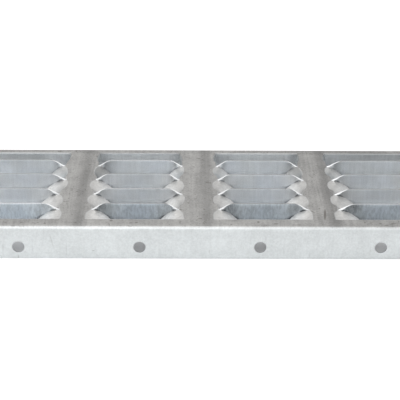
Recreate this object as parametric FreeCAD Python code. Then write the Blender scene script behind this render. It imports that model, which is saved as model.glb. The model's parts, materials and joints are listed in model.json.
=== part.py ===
import FreeCAD, Part
import functools
import math
import os

# Metal stair tread: one zinc-coated steel sheet, folded down along both long edges.
# Its top is slit in bays between plain ribs, and the strips are pressed into louvres.
# Millimetres. X runs along the tread, the front skirt faces -Y, Z is up.
# The origin lies midway between the skirts, at the height of their lower edges.

# Folded channel
length = 600.0
depth = 240.0
height = 40.0
sheet_thickness = 2.0
bend_radius = 2.0

# Bays of slits along the length, with a plain rib between them
bay_pitch = 150.0
rib_width = 43.0

# Rows across the depth, measured back from the front face
front_band = 21.5
flap_width = 27.5
strip_pitch = 44.5
slit_gap = 1.0
rear_band_least = 8.0

# Pressed form: each strip's front edge is lifted, and the rest is pushed down to a shelf.
# The front flap, between the front band and the first slit, only goes down.
lip_rise = 8.5
shelf_drop = 16.0
web_angle = 88.0

# Lengths, in from a slit's end, over which a lip rises and a shelf goes down
lip_ramp = 19.0
shelf_ramp = 28.5

# At a slit's end a web lies flat and reaches further back; it stands up over a share of the lip's ramp
web_root = 12.0
twist_share = 2 / 3

# A web's foot goes down sooner than the shelf's rear edge, over a share of the shelf's ramp
foot_share = 2 / 3

# Halfway along, a rear edge is drawn forward by a share of the strip's or flap's width
draw_share = 0.3
draw_power = 4.0

# Powers that bend the slopes of the shelves' ends and of the flap's
shelf_power = 1.45
flap_power = 1.15

# Towards the rear edge the shelves' ends get steeper, row by row
steep_rows = 2
ramp_cut = 9.5

# Flat facets that follow each curve of the pressed sheet
fold_chords = 3
ramp_steps = 3

# Fixing holes in the front skirt
hole_diameter = 14.0
hole_pitch = 140.0
hole_height = 14.5
hole_end_least = 80.0

# Worked out from the sizes above
front_y = -depth / 2
bay_count = int(length // bay_pitch)
slit_half = (bay_pitch - rib_width) / 2
first_slit = front_y + front_band + flap_width
strip_room = depth - front_band - flap_width - rear_band_least
strip_count = int(strip_room // strip_pitch)
last_slit = first_slit + strip_count * strip_pitch
hole_count = int((length - 2 * hole_end_least) // hole_pitch) + 1
steepest = math.radians(web_angle)
foot_arc = bend_radius * steepest
hinge_arc = (bend_radius + sheet_thickness) * steepest
flap_start = front_y + bend_radius + 2 * sheet_thickness


def spread(count, pitch):
    """Evenly spaced places about zero."""
    return [(index - (count - 1) / 2) * pitch for index in range(count)]


def in_plane(x, point):
    """A point of a cross-section, given as (y, z), at a place along the tread."""
    return FreeCAD.Vector(x, point[0], point[1])


def moved(point, direction, distance):
    """A cross-section point moved along a direction."""
    return (point[0] + direction[0] * distance, point[1] + direction[1] * distance)


def channel():
    """The folded sheet before slitting: a flat top and two skirts with rounded folds."""
    outer = bend_radius + sheet_thickness
    edges = []
    start_x = -length / 2
    half = depth / 2
    fold_z = height - outer
    diagonal = math.sqrt(0.5)

    def line(a, b):
        edges.append(Part.LineSegment(in_plane(start_x, a), in_plane(start_x, b)).toShape())

    def fold(side, radius, from_skirt):
        centre = (side * (half - outer), fold_z)
        at_skirt = moved(centre, (side, 0), radius)
        middle = moved(centre, (side * diagonal, diagonal), radius)
        at_top = moved(centre, (0, 1), radius)
        ends = [at_skirt, at_top] if from_skirt else [at_top, at_skirt]
        corners = [in_plane(start_x, point) for point in (ends[0], middle, ends[1])]
        edges.append(Part.Arc(*corners).toShape())

    inner = half - sheet_thickness
    under = height - sheet_thickness
    line((-half, 0), (-half, fold_z))
    fold(-1, outer, True)
    line((-half + outer, height), (half - outer, height))
    fold(1, outer, False)
    line((half, fold_z), (half, 0))
    line((half, 0), (inner, 0))
    line((inner, 0), (inner, fold_z))
    fold(1, bend_radius, True)
    line((half - outer, under), (-half + outer, under))
    fold(-1, bend_radius, False)
    line((-inner, fold_z), (-inner, 0))
    line((-inner, 0), (-half, 0))
    profile = Part.Face(Part.Wire(edges))
    return profile.extrude(FreeCAD.Vector(length, 0, 0))


def bay_window(bay_x):
    """The space in one bay of the top that its flap and strips take up."""
    corner = FreeCAD.Vector(bay_x - slit_half, flap_start, height - 2 * sheet_thickness)
    span = last_slit + slit_gap / 2 - flap_start
    return Part.makeBox(2 * slit_half, span, 3 * sheet_thickness, corner)


def way_in(inset, ramp):
    """How much of a ramp lies within a distance in from the slit's end, from 0 to 1."""
    return min(1.0, inset / ramp)


def rise_share(inset):
    """How far a lip is lifted there, steep at the slit's end and level at the top."""
    return math.sin(math.pi / 2 * way_in(inset, lip_ramp))


def arc_tangent(turn):
    """Length of an arc's tangents, up to where they meet, as a share of the arc."""
    return math.tan(turn / 2) / turn if turn else 0.5


def shelf_ramp_of(row):
    """Length of a strip's sloping shelf end, shorter in the steep rows at the rear."""
    rows_behind = strip_count - 1 - row
    return shelf_ramp - ramp_cut * max(0, steep_rows - rows_behind)


def walk(start, stretches):
    """Points along the sheet's top face as (y, z, slope), from stretches of (length, turn)."""
    y, z, slope = start
    points = [start]
    for run, turn in stretches:
        chords = 1 if turn is None else fold_chords
        part_turn = (turn or 0.0) / chords
        for _ in range(chords):
            heading = slope + part_turn / 2
            y += run / chords * math.cos(heading)
            z -= run / chords * math.sin(heading)
            slope += part_turn
            points.append((y, z, slope))
    return points


def web_of(drop, full_drop, inset, folds):
    """Slope and straight length of a web between folds that take up a given length of sheet."""
    middle_run = full_drop / math.tan(steepest)
    run = web_root + (middle_run - web_root) * way_in(inset, twist_share * lip_ramp)
    tilt = math.atan2(drop, run)
    return tilt, run / math.cos(tilt) - folds * arc_tangent(tilt)


def with_shelf(path, edge_y, edge_z):
    """A path continued by a straight shelf to its rear edge."""
    foot_y, foot_z, _ = path[-1]
    return path + [(edge_y, edge_z, math.atan2(foot_z - edge_z, edge_y - foot_y))]


def strip_path(row, inset):
    """Cross-section of a strip: lifted front edge, steep web, foot fold, shelf."""
    ramp = shelf_ramp_of(row)
    rise = lip_rise * rise_share(inset)
    foot_drop = shelf_drop * way_in(inset, foot_share * ramp)
    tilt, web = web_of(rise + foot_drop, lip_rise + shelf_drop, inset, foot_arc)
    lip_y = first_slit + row * strip_pitch + slit_gap / 2
    path = walk((lip_y, height + rise, tilt), [(web, None), (foot_arc, -tilt)])
    drawn = draw_share * strip_pitch * way_in(inset, ramp) ** draw_power
    edge_drop = shelf_drop * way_in(inset, ramp) ** shelf_power
    return with_shelf(path, lip_y + strip_pitch - slit_gap - drawn, height - edge_drop)


def flap_path(inset):
    """Cross-section of the front flap: hinge fold, steep web, foot fold, shelf."""
    drop = shelf_drop * way_in(inset, shelf_ramp) ** flap_power
    tilt, web = web_of(drop, shelf_drop, inset, hinge_arc + foot_arc)
    lead = front_y + front_band - flap_start
    stretches = [(lead, None), (hinge_arc, tilt), (web, None), (foot_arc, -tilt)]
    path = walk((flap_start, height, 0.0), stretches)
    drawn = draw_share * flap_width * way_in(inset, shelf_ramp) ** draw_power
    return with_shelf(path, first_slit - slit_gap / 2 - drawn, height - drop)


def sheet_section(x, path):
    """Corners of the sheet's cross-section, along its top face and back along its underside."""
    top = [FreeCAD.Vector(x, y, z) for y, z, slope in path]
    under = []
    for y, z, slope in path:
        down = (-math.sin(slope), -math.cos(slope))
        under.append(in_plane(x, moved((y, z), down, sheet_thickness)))
    return top + under[::-1]


def facet(corners):
    """A flat face."""
    return Part.Face(Part.makePolygon(corners + corners[:1]))


def skin_between(here, following, side):
    """Faces that join two cross-sections: four-cornered where straight, else pairs of triangles.

    The triangles' shared edge runs towards the lip as the strip rises, on both faces of the sheet.
    """
    faces = []
    for index in range(len(here)):
        a, b = here[index - 1], here[index]
        c, d = following[index], following[index - 1]
        on_top = 0 < index < len(here) / 2
        if side == 0:
            faces.append(facet([a, b, c, d]))
        elif (side < 0) == on_top:
            faces += [facet([a, b, d]), facet([b, c, d])]
        else:
            faces += [facet([a, b, c]), facet([a, c, d])]
    return faces


def pressed_strip(bay_x, ramps, path_at):
    """One strip or flap of a bay, flat where it joins the ribs and fully pressed between."""
    parts = [step / ramp_steps for step in range(ramp_steps + 1)]
    insets = sorted({round(ramp * part, 3) for ramp in ramps for part in parts})
    places = [(bay_x - slit_half + inset, inset) for inset in insets]
    places += [(bay_x + slit_half - inset, inset) for inset in reversed(insets)]
    sections = [sheet_section(x, path_at(inset)) for x, inset in places]
    faces = [facet(sections[0]), facet(sections[-1])]
    middle = len(insets) - 1
    for index, (here, following) in enumerate(zip(sections, sections[1:])):
        faces += skin_between(here, following, index - middle)
    solid = Part.makeSolid(Part.makeShell(faces))
    if solid.Volume < 0:
        solid.reverse()
    return solid


def bay_strips(bay_x):
    """All the pressed sheet of one bay, from the front flap to the last strip."""
    strips = [pressed_strip(bay_x, [lip_ramp, shelf_ramp], flap_path)]
    for row in range(strip_count):
        ramps = [lip_ramp, shelf_ramp_of(row)]
        strips.append(pressed_strip(bay_x, ramps, functools.partial(strip_path, row)))
    return strips


def fixing_hole(x):
    """A drill through the front skirt only."""
    start = FreeCAD.Vector(x, front_y - sheet_thickness, hole_height)
    return Part.makeCylinder(hole_diameter / 2, 3 * sheet_thickness, start, FreeCAD.Vector(0, 1, 0))


def tread():
    """The whole tread as one sheet."""
    bays = spread(bay_count, bay_pitch)
    sheet = channel()
    sheet = sheet.cut([bay_window(bay_x) for bay_x in bays])
    strips = []
    for bay_x in bays:
        strips += bay_strips(bay_x)
    sheet = sheet.fuse(strips)
    sheet = sheet.cut([fixing_hole(x) for x in spread(hole_count, hole_pitch)])
    return sheet.removeSplitter()


def main():
    shape = tread()
    if len(shape.Solids) != 1:
        raise RuntimeError("the tread should be one solid, not %d" % len(shape.Solids))
    if not shape.isValid():
        raise RuntimeError("the tread's solid is not valid")
    os.makedirs("parts", exist_ok=True)
    shape.Solids[0].exportStep("parts/tread.step")
    box = shape.BoundBox
    print("tread", round(box.XLength, 2), round(box.YLength, 2), round(box.ZLength, 2))
    print("volume", round(shape.Volume), "faces", len(shape.Faces))


main()
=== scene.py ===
import collections
import json
import math

import bpy
from mathutils import Color, Matrix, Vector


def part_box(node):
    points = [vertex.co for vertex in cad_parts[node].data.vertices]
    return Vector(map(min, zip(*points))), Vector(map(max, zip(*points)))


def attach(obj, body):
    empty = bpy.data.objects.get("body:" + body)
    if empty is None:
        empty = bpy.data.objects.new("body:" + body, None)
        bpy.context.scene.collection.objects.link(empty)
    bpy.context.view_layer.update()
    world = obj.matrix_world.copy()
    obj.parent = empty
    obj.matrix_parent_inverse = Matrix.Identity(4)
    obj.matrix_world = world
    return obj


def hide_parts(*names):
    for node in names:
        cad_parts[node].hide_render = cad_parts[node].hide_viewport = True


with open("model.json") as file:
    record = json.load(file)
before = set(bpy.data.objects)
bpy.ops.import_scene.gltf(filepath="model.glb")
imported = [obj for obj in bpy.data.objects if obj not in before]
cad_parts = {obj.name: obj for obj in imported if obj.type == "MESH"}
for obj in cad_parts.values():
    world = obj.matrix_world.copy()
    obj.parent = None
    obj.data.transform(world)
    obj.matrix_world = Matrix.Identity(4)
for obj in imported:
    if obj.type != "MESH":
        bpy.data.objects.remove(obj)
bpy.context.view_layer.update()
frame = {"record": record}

bl_info = {
    "name": "Metal Stair Tread",
    "version": (1, 0, 0),
    "blender": (4, 5, 0),
    "location": "3D View > Sidebar > Stair Tread",
    "description": "Presses a louvred, zinc-coated steel stair tread on its CAD frame and sets a pale stage",
    "category": "Object",
}

NODE = "tread"
BODY = "root"
MM = 0.001

LOW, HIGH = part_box(NODE)
HOLE_MOUNTS = [mount for mount in frame["record"]["mounts"] if mount["kind"] == "bolt_pattern"]
LIP_RISE = 8.5 * MM


# Settings

def size(label, about, value):
    """A length in metres that a user may change."""
    return bpy.props.FloatProperty(
        name=label, description=about, default=value, min=0.0, precision=4, subtype="DISTANCE", unit="LENGTH"
    )


def turn(label, about, degrees):
    """An angle that a user may change."""
    return bpy.props.FloatProperty(
        name=label, description=about, default=math.radians(degrees), subtype="ANGLE", unit="ROTATION"
    )


def share(label, about, value, most=1.0):
    """A plain number that a user may change."""
    return bpy.props.FloatProperty(
        name=label, description=about, default=value, min=0.0, max=most, subtype="FACTOR"
    )


def linear(level):
    """A screen level from 0 to 255 as a linear value."""
    level /= 255
    return level / 12.92 if level <= 0.04045 else ((level + 0.055) / 1.055) ** 2.4


def tint(label, about, red, green, blue):
    """A colour that a user may change, written in screen levels."""
    return bpy.props.FloatVectorProperty(
        name=label, description=about, size=3, min=0.0, max=1.0, subtype="COLOR",
        default=(linear(red), linear(green), linear(blue)),
    )


class TreadSheetSizes(bpy.types.PropertyGroup):
    """Sizes of the folded and pressed sheet."""

    length: size("Length", "End to end along the tread", HIGH.x - LOW.x)
    depth: size("Depth", "From the front skirt's face to the rear skirt's", HIGH.y - LOW.y)
    height: size("Height", "From the skirts' lower edges to the plain ribs", HIGH.z - LOW.z - LIP_RISE)
    thickness: size("Sheet Thickness", "Thickness of the steel sheet", 2.0 * MM)
    bend_radius: size("Bend Radius", "Inside radius of every fold", 2.0 * MM)
    bay_pitch: size("Bay Pitch", "From one bay of louvres to the next", 150.0 * MM)
    rib_width: size("Rib Width", "Plain sheet between the slits of two bays", 43.0 * MM)
    front_band: size("Front Band", "Plain sheet between the front face and the flap", 21.5 * MM)
    flap_width: size("Flap Width", "Front flap, from its hinge to the first slit", 27.5 * MM)
    strip_pitch: size("Strip Pitch", "From one slit to the next", 44.5 * MM)
    rear_band_least: size("Least Rear Band", "Plain sheet kept behind the last slit", 8.0 * MM)
    slit_gap: size("Slit Gap", "Width that the slitting takes", 1.0 * MM)
    lip_rise: size("Lip Rise", "How far a louvre's lip stands above the ribs", LIP_RISE)
    shelf_drop: size("Shelf Drop", "How far a louvre's shelf lies below the ribs", 16.0 * MM)
    web_angle: turn("Web Angle", "Slope of the web between lip and shelf", 88.0)
    lip_ramp: size("Lip Ramp", "Length over which a lip rises at its ends", 19.0 * MM)
    shelf_ramp: size("Shelf Ramp", "Length over which a shelf sinks at its ends", 28.5 * MM)
    web_root: size("Web Root", "How far back a web's foot lies at the ends of its slit", 12.0 * MM)
    draw_share: share("Shelf Draw", "Share of its width by which a shelf is drawn forward in the middle", 0.3)
    ramp_cut: size("Ramp Cut", "Shelf ramps are shorter by this times a steep row's number squared", 6.1 * MM)
    steep_rows: bpy.props.IntProperty(
        name="Steep Rows", description="Rows at the rear whose shelf ends are steeper", default=2, min=0
    )
    crease_bulge: size("Crease Bulge", "How far a shelf's end crease curves out past the slits", 5.1 * MM)
    flap_bulge: size("Flap Bulge", "How far the front flap's end crease curves out", 4.9 * MM)
    bulge_lean: share("Bulge Lean", "How much more the creases curve out on the left than on the right", 0.2)
    first_reach: size("First Reach", "How much longer the first bay's slits are on the right", 4.5 * MM)
    last_reach: size("Last Reach", "How much longer the last bay's slits are on the left", 7.5 * MM)
    tip_stagger: size("Tip Stagger", "How far every other slit is longer or shorter on the right", 2.2 * MM)
    tip_scatter: size("Tip Scatter", "How much the slits differ in length at each end", 0.8 * MM)
    lip_scatter: share("Lip Scatter", "How much the lips differ in height", 0.06)
    edge_round: size("Edge Round", "Rounding of the sheared edges under the zinc", 0.25 * MM)
    seed: bpy.props.IntProperty(name="Seed", description="Fixes the scatter of tips and lips", default=7)


class TreadFinish(bpy.types.PropertyGroup):
    """Colours of the zinc coat."""

    rib_zinc: tint("Rib Zinc", "Dull trodden zinc on ribs and bands", 158, 157, 155)
    louvre_zinc: tint("Louvre Zinc", "Bluish zinc on the pressed louvres", 225, 228, 230)
    # Painted reflection: the first row's webs get darker, bluer zinc for the dark flap in front of them
    front_row_shade_zinc: tint("Front Row Zinc", "Duller, bluer zinc on the first row's webs", 182, 188, 192)
    # Painted light: pale zinc that makes the sloping ends look lit
    facet_light_zinc: tint("Facet Zinc", "Pale drawn zinc on the sloping ends", 215, 214, 212)
    skirt_zinc: tint("Skirt Zinc", "Bright zinc on the skirts", 217, 221, 222)
    # Painted highlight on the sheared edges; the skirts' hair scratches take this colour too
    highlight_and_scratch_zinc: tint("Edge Zinc", "Bright zinc on the sheared edges", 242, 244, 245)
    # Painted shade along the lips away from their ends, also the trodden zinc on worn edges
    lip_shade_and_wear_zinc: tint("Lip Zinc", "Trodden zinc on top of the lips", 144, 146, 146)
    # Painted shade: the colour of the steep ends at the rear, darker than the lit ends
    shade_zinc: tint("Shade Zinc", "Dull zinc on the steep ends at the rear", 206, 210, 211)
    scuff: tint("Scuff", "Grime rubbed into the trodden zinc", 96, 92, 88)


class TreadStage(bpy.types.PropertyGroup):
    """Floor, lamps and camera."""

    floor: tint("Floor", "Pale floor", 244, 244, 244)
    key_power: bpy.props.FloatProperty(
        name="Key Power", description="Soft lamp in front and above", default=11.0, min=0.0, unit="POWER"
    )
    fill_power: bpy.props.FloatProperty(
        name="Fill Power", description="Soft lamp overhead", default=7.5, min=0.0, unit="POWER"
    )
    room_light: share("Room Light", "Even light from all round", 0.82, 4.0)
    focal_pixels: bpy.props.FloatProperty(
        name="Focal Length in Pixels", description="For an image 400 pixels wide", default=1319.8, min=1.0
    )
    pitch: turn("Camera Pitch", "How far the camera looks down", 24.158)
    yaw: turn("Camera Yaw", "How far the camera turns right", 0.896)
    roll: turn("Camera Roll", "How far the camera tips", 0.551)


# Node trees

def operator_for(operation, swapped=False):
    """An operator of Value that adds a Math node."""
    def applied(self, other):
        pair = (other, self) if swapped else (self, other)
        return self.wires.math(operation, *pair)
    return applied


class Value:
    """What a socket carries. Python's own operators on it add Math nodes to its tree."""

    def __init__(self, wires, socket):
        self.wires = wires
        self.socket = socket

    __add__, __radd__ = operator_for("ADD"), operator_for("ADD", True)
    __sub__, __rsub__ = operator_for("SUBTRACT"), operator_for("SUBTRACT", True)
    __mul__, __rmul__ = operator_for("MULTIPLY"), operator_for("MULTIPLY", True)
    __truediv__ = operator_for("DIVIDE")


class Wires:
    """Adds nodes to one tree and joins them up."""

    def __init__(self, tree):
        self.tree = tree

    def feed(self, socket, value):
        """Links a socket, or sets its own value. Colours get full alpha."""
        if isinstance(value, Value):
            self.tree.links.new(value.socket, socket)
        else:
            socket.default_value = (*value, 1.0) if isinstance(value, Color) else value

    def node(self, kind, feeds=None, **settings):
        """A node with its settings and inputs."""
        made = self.tree.nodes.new(kind)
        for name, value in settings.items():
            setattr(made, name, value)
        self.fill(made, feeds or {})
        return made

    def fill(self, node, feeds):
        """Links or sets a node's inputs by name or number."""
        for key, value in feeds.items():
            self.feed(node.inputs[key], value)

    def output(self, kind, feeds=None, which=0, **settings):
        """One output of a new node, as a value."""
        return Value(self, self.node(kind, feeds, **settings).outputs[which])

    def outputs(self, kind, feeds=None, **settings):
        """Every output of a new node, as values by name."""
        return {socket.name: Value(self, socket) for socket in self.node(kind, feeds, **settings).outputs}

    def math(self, operation, *values):
        """What a Math node makes of its inputs."""
        return self.output("ShaderNodeMath", dict(enumerate(values)), operation=operation)

    def within(self, value, low, high):
        """A value held between two others."""
        return self.math("MAXIMUM", self.math("MINIMUM", value, high), low)

    def vector(self, x, y, z):
        """A vector of three numbers."""
        return self.output("ShaderNodeCombineXYZ", {0: x, 1: y, 2: z})

    def apart(self, vector):
        """A vector's three numbers."""
        return self.outputs("ShaderNodeSeparateXYZ", {0: vector}).values()

    def between(self, factor, low, high):
        """A value that goes from one to another as a factor goes from 0 to 1."""
        return low + factor * (high - low)

    def step(self, value, low, high):
        """0 below one value, 1 above another and a smooth step between them."""
        feeds = {"Value": value, "From Min": low, "From Max": high}
        return self.output("ShaderNodeMapRange", feeds, interpolation_type="SMOOTHSTEP")


def floats(*names):
    """Number sockets of a node tree, as (name, type)."""
    return [(name, "NodeSocketFloat") for name in names]


def open_tree(name, kind, inputs, outputs):
    """A new node tree with named sockets, its wires, its inputs by name and its output node."""
    tree = bpy.data.node_groups.new(name, kind)
    for way, sockets in (("INPUT", inputs), ("OUTPUT", outputs)):
        for label, kind_of_socket in sockets:
            tree.interface.new_socket(label, in_out=way, socket_type=kind_of_socket)
    wires = Wires(tree)
    given = wires.outputs("NodeGroupInput")
    ends = wires.node("NodeGroupOutput").inputs
    return tree, wires, given, ends


# The flat blank, as a grid of points over the whole folded sheet

Row = collections.namedtuple(
    "Row", "y z strip across course pull pressed cut skirt", defaults=(0, 0.0, 0.0, 0.0, False, False, 0.0)
)
Column = collections.namedtuple("Column", "x bay side inset pull")

# Cells of the grid along each stretch of the sheet
SKIRT_CELLS = 15
FOLD_CELLS = 5
BAND_CELLS = 5
HINGE_CELLS = 4
FLAP_WEB_CELLS = 4
FOOT_CELLS = 3
FLAP_SHELF_CELLS = 4
STRIP_WEB_CELLS = 8
STRIP_SHELF_CELLS = 6
MIDDLE_CELLS = 6
RAMP_CELLS = 18
SHOULDER_CELLS = 7
RIB_CELLS = 1

# Plain sheet beside a slit that follows its end, and the grid round a hole
SHOULDER = 20.0 * MM
HOLE_MARGIN = 2.4 * MM
HOLE_RINGS = 3

# Allowances for rounding
COUNT_SLACK = 1e-6
SAME_PLACE = 1e-4 * MM

# Courses of a strip or flap, numbered back from its front edge, and the number where they end
HINGE_COURSE, WEB_COURSE, FOOT_COURSE, SHELF_COURSE, COURSES_END = range(5)


def steps(start, stop, cells):
    """Evenly spaced values, without the first."""
    return [start + (stop - start) * cell / cells for cell in range(1, cells + 1)]


def chained(stretches):
    """Distances along stretches of (length, cells), from zero."""
    marks = [0.0]
    for run, cells in stretches:
        marks += steps(marks[-1], marks[-1] + run, cells)
    return marks


def coursed(first, stretches):
    """(distance, course) along numbered stretches, where course 1.5 is halfway along stretch 1."""
    courses = [float(first)]
    for number, (_, cells) in enumerate(stretches, first):
        courses += steps(number, number + 1, cells)
    return list(zip(chained(stretches), courses))


def spread(count, pitch):
    """Evenly spaced places about zero."""
    return [(index - (count - 1) / 2) * pitch for index in range(count)]


def folds_of(sheet):
    """Lengths of sheet in a foot fold and in the flap's hinge fold."""
    foot = sheet.bend_radius * sheet.web_angle
    hinge = (sheet.bend_radius + sheet.thickness) * sheet.web_angle
    return foot, hinge


def strip_count_of(sheet):
    """Strips that fit behind the flap."""
    room = sheet.depth - sheet.front_band - sheet.flap_width - sheet.rear_band_least
    return int(room / sheet.strip_pitch + COUNT_SLACK)


def bay_count_of(sheet):
    """How many bays of louvres fit along the length."""
    return int(sheet.length / sheet.bay_pitch + COUNT_SLACK)


def last_slit_of(sheet):
    """Where the last slit lies, from the middle of the depth."""
    return LOW.y + sheet.front_band + sheet.flap_width + strip_count_of(sheet) * sheet.strip_pitch


def strip_marks(sheet):
    """Distances back from a strip's front edge: web, foot fold, shelf."""
    foot, _ = folds_of(sheet)
    web = sheet.web_root - foot / 2
    shelf = sheet.strip_pitch - web - foot
    return coursed(WEB_COURSE, [(web, STRIP_WEB_CELLS), (foot, FOOT_CELLS), (shelf, STRIP_SHELF_CELLS)])


def flap_marks(sheet):
    """Distances back from the flap's hinge: hinge fold, web, foot fold, shelf."""
    foot, hinge = folds_of(sheet)
    web = sheet.web_root - (hinge + foot) / 2
    shelf = sheet.flap_width - hinge - web - foot
    return coursed(HINGE_COURSE, [
        (hinge, HINGE_CELLS), (web, FLAP_WEB_CELLS), (foot, FOOT_CELLS), (shelf, FLAP_SHELF_CELLS)
    ])


def blank_rows(sheet):
    """Lines of points from the front skirt's foot, over the top, to the rear skirt's foot."""
    half = sheet.depth / 2
    outer = sheet.bend_radius + sheet.thickness
    fold_z = sheet.height - outer
    hinge_y = sheet.front_band - half
    first_slit = hinge_y + sheet.flap_width
    strips = strip_count_of(sheet)
    last_slit = first_slit + strips * sheet.strip_pitch
    folding = steps(0, math.pi / 2, FOLD_CELLS)

    rows = [Row(-half, z, skirt=1.0) for z in [0.0] + steps(0, fold_z, SKIRT_CELLS)]
    for angle in folding:
        y = -half + outer * (1 - math.cos(angle))
        rows.append(Row(y, fold_z + outer * math.sin(angle), skirt=math.cos(angle)))
    for part in steps(0, 1, BAND_CELLS):
        y = outer - half + part * (hinge_y - outer + half)
        rows.append(Row(y, sheet.height, pull=part))
    for across, course in flap_marks(sheet)[1:]:
        rows.append(Row(hinge_y + across, sheet.height, 0, across, course, 1.0, True))
    for strip in range(1, strips + 1):
        start = first_slit + (strip - 1) * sheet.strip_pitch
        for across, course in strip_marks(sheet):
            rows.append(Row(start + across, sheet.height, strip, across, course, 1.0, True, across == 0))
    for part in [0.0] + steps(0, 1, BAND_CELLS):
        y = last_slit + part * (half - outer - last_slit)
        across = sheet.strip_pitch
        rows.append(Row(y, sheet.height, strips, across, COURSES_END, 1 - part, False, part == 0))
    for angle in folding:
        y = half - outer * (1 - math.sin(angle))
        rows.append(Row(y, fold_z + outer * math.cos(angle), skirt=math.sin(angle)))
    for z in steps(fold_z, 0, SKIRT_CELLS):
        rows.append(Row(half, z, skirt=1.0))
    return rows


def blank_columns(sheet):
    """Lines of points across the sheet, close together where its louvres' ends slope."""
    slit_half = (sheet.bay_pitch - sheet.rib_width) / 2
    half_pitch = sheet.bay_pitch / 2
    flat = slit_half - sheet.shelf_ramp
    outward = chained([
        (flat, MIDDLE_CELLS),
        (sheet.shelf_ramp, RAMP_CELLS),
        (SHOULDER, SHOULDER_CELLS),
        (half_pitch - slit_half - SHOULDER, RIB_CELLS),
    ])
    columns = []
    bays = spread(bay_count_of(sheet), sheet.bay_pitch)
    for bay, middle in enumerate(bays):
        offsets = [-mark for mark in reversed(outward)] + outward[1:]
        if bay:
            offsets = offsets[1:]
        for offset in offsets:
            reach = abs(offset)
            side = 1 if offset > 0 else -1
            if reach <= slit_half:
                pull = reach / slit_half
            else:
                pull = max(0.0, 1 - (reach - slit_half) / SHOULDER)
            inset = slit_half - reach if slit_half - reach > SAME_PLACE else 0.0
            columns.append(Column(middle + offset, bay, side, inset, side * pull))
    if columns[-1].x < sheet.length / 2 - MM:
        end = sheet.length / 2
        columns.insert(0, Column(-end, 0, -1, 0.0, 0.0))
        columns.append(Column(end, len(bays) - 1, 1, 0.0, 0.0))
    return columns


class Blank:
    """Points, faces and marks of the flat blank."""

    MARKS = ("inset", "across", "course", "strip", "bay", "side", "pull", "skirt", "trodden")

    def __init__(self):
        self.points = []
        self.faces = []
        self.marks = {name: [] for name in self.MARKS}

    def point(self, place, **marks):
        """Adds a point and says where on the sheet it is."""
        self.points.append(place)
        for name in self.MARKS:
            self.marks[name].append(float(marks.get(name, 0.0)))
        return len(self.points) - 1

    def mesh(self, name):
        """The blank as a mesh whose points carry their marks."""
        mesh = bpy.data.meshes.new(name)
        mesh.from_pydata(self.points, [], self.faces)
        for mark, values in self.marks.items():
            mesh.attributes.new(mark, "FLOAT", "POINT").data.foreach_set("value", values)
        return mesh


def hole_places():
    """(x, z, radius) of the holes drilled in the front skirt, from the record's mounts."""
    places = []
    for mount in HOLE_MOUNTS:
        half = mount["dims"]["spacing_x_mm"] * MM / 2
        radius = mount["dims"]["hole_r_mm"] * MM
        x, _, z = mount["pos_m"]
        places += [(x - half, z, radius), (x + half, z, radius)]
    return places


def bracket(values, low, high):
    """Indices of the values just outside a range."""
    below = max(index for index, value in enumerate(values) if value <= low)
    above = min(index for index, value in enumerate(values) if value >= high)
    return below, above


def drill(blank, grid, rows, columns, hole):
    """Replaces cells of the front skirt with rings round a hole, and returns those cells."""
    x, z, radius = hole
    room = radius + HOLE_MARGIN
    left, right = bracket([column.x for column in columns], x - room, x + room)
    foot, head = bracket([row.z for row in rows[:SKIRT_CELLS + 1]], z - room, z + room)
    loop = [grid[foot][i] for i in range(left, right)]
    loop += [grid[j][right] for j in range(foot, head)]
    loop += [grid[head][i] for i in range(right, left, -1)]
    loop += [grid[j][left] for j in range(head, foot, -1)]
    edge = [blank.points[index] for index in loop]
    for ring in steps(0, 1, HOLE_RINGS):
        inner = []
        for px, py, pz in edge:
            reach = math.hypot(px - x, pz - z)
            cx = x + (px - x) / reach * radius
            cz = z + (pz - z) / reach * radius
            inner.append(blank.point((px + (cx - px) * ring, py, pz + (cz - pz) * ring), skirt=1.0))
        for index in range(len(loop)):
            after = (index + 1) % len(loop)
            blank.faces.append((loop[index], loop[after], inner[after], inner[index]))
        loop = inner
    return {(j, i) for j in range(foot, head) for i in range(left, right)}


def make_blank(sheet):
    """The folded, slit and drilled sheet's outer face, before the louvres are pressed."""
    blank = Blank()
    rows = blank_rows(sheet)
    columns = blank_columns(sheet)
    grid = []
    for j, row in enumerate(rows):
        line = []
        for i, column in enumerate(columns):
            if row.cut and column.inset == 0:
                line.append(grid[j - 1][i])
                continue
            inset = column.inset if row.pressed else 0.0
            line.append(blank.point(
                (column.x, row.y, row.z),
                inset=inset, across=row.across, course=row.course,
                strip=row.strip, bay=column.bay, side=column.side,
                pull=column.pull * row.pull, skirt=row.skirt,
                trodden=(1 - row.skirt) if inset == 0 else 0.0,
            ))
        grid.append(line)
    drilled = set()
    for hole in hole_places():
        drilled |= drill(blank, grid, rows, columns, hole)
    for j in range(len(rows) - 1):
        if rows[j + 1].cut:
            continue
        for i in range(len(columns) - 1):
            if (j, i) not in drilled:
                blank.faces.append((grid[j][i], grid[j][i + 1], grid[j + 1][i + 1], grid[j + 1][i]))
    return blank.mesh("tread_blank")


# The press, as a tree that moves the blank's points

PRESS_SIZES = (
    "Flap Width", "Strip Pitch", "Slit Gap", "Lip Rise", "Shelf Drop", "Web Angle", "Lip Ramp", "Shelf Ramp",
    "Ramp Cut", "Steep Rows", "Web Root", "Draw Share", "Crease Bulge", "Flap Bulge", "Bulge Lean",
    "First Reach", "Last Reach", "Tip Stagger", "Tip Scatter", "Lip Scatter",
)
PRESS_SUMS = ("Strip Count", "Bay Count", "Foot Arc", "Hinge Arc")
PRESS_INPUTS = [
    ("Geometry", "NodeSocketGeometry"),
    *floats(*PRESS_SIZES, *PRESS_SUMS),
    ("Seed", "NodeSocketInt"),
    ("Sheet Material", "NodeSocketMaterial"),
]

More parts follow.
